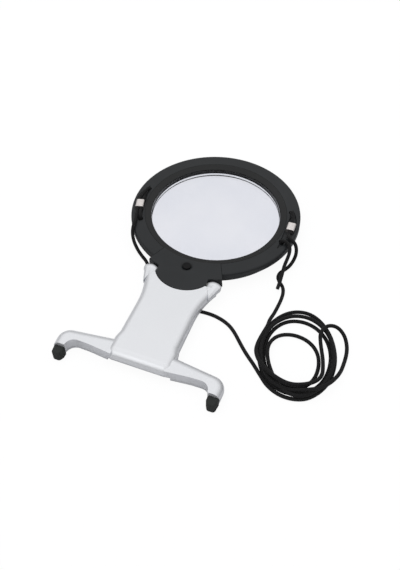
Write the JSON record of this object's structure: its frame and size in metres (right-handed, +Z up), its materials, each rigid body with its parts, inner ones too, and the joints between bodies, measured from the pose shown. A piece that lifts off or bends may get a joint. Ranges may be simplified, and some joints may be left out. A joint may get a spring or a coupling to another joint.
{
  "type": "neck_magnifier",
  "caption": "Hands-free magnifier worn on a neck cord: a large round lens in a black frame with a lamp switch, a silver folding arm and two rubber-footed chest legs.",
  "frame": {"origin": "on the table under the middle of the rigid outline, lens frame and legs together, the cord left out", "axes": "+X along the chest legs to the right as pictured, +Y from the chest legs to the lens, +Z up out of the lens face"},
  "size_m": [0.2099, 0.247, 0.0177],
  "materials": {
    "black_shell": "satin black moulded plastic with a fine grain",
    "silver_shell": "fine silver paint on moulded plastic, satin",
    "black_gloss": "polished black plastic",
    "lens_glass": "clear polished acrylic lens",
    "steel": "plain bright steel",
    "board_green": "green circuit board",
    "lamp_clear": "clear resin lamp",
    "foot_rubber": "matt black rubber",
    "crimp_metal": "crimped bare metal",
    "cord_fabric": "braided black cord"
  },
  "bodies": {
    "lens_frame": {"ring_top_shell": "black_shell", "ring_bottom_shell": "black_shell", "hub_cover": "black_shell", "lens": "lens_glass", "lens_bezel": "black_gloss", "ring_screws": "steel", "hinge_pins": "steel", "friction_washers": "steel", "switch_spring": "steel", "switch_body": "black_gloss", "circuit_board": "board_green", "led_pair": "lamp_clear", "coin_cell": "steel", "battery_contacts": "steel", "left_crimp": "crimp_metal", "right_crimp": "crimp_metal", "cord_coil": "cord_fabric", "left_cord_loop": "cord_fabric", "right_cord_loop": "cord_fabric", "cord_left_run": "cord_fabric", "cord_right_run": "cord_fabric"},
    "chest_arm": {"arm_top_shell": "silver_shell", "arm_bottom_shell": "silver_shell", "arm_screws": "steel", "leg_screws": "steel", "right_leg_top": "silver_shell", "left_leg_top": "silver_shell", "right_leg_bottom": "silver_shell", "left_leg_bottom": "silver_shell", "right_foot": "foot_rubber", "left_foot": "foot_rubber"},
    "button": {"switch_button": "black_shell"},
    "cap": {"battery_cap": "black_shell"}
  },
  "joints": [
    {"name": "arm_fold", "type": "hinge", "parent": "lens_frame", "child": "chest_arm", "pos_m": [0, -0.0255, 0.00975], "axis": [-1, 0, 0], "range_deg": [0, 90]},
    {"name": "button_press", "type": "slide", "parent": "lens_frame", "child": "button", "axis": [0, 0, -1], "range_m": [0, 0.0012], "stiffness_N_per_m": 800, "deforming": ["switch_spring"]},
    {"name": "cap_turn", "type": "hinge", "parent": "lens_frame", "child": "cap", "pos_m": [0, -0.0205, 0], "axis": [0, 0, 1], "range_deg": [0, 40]}
  ]
}
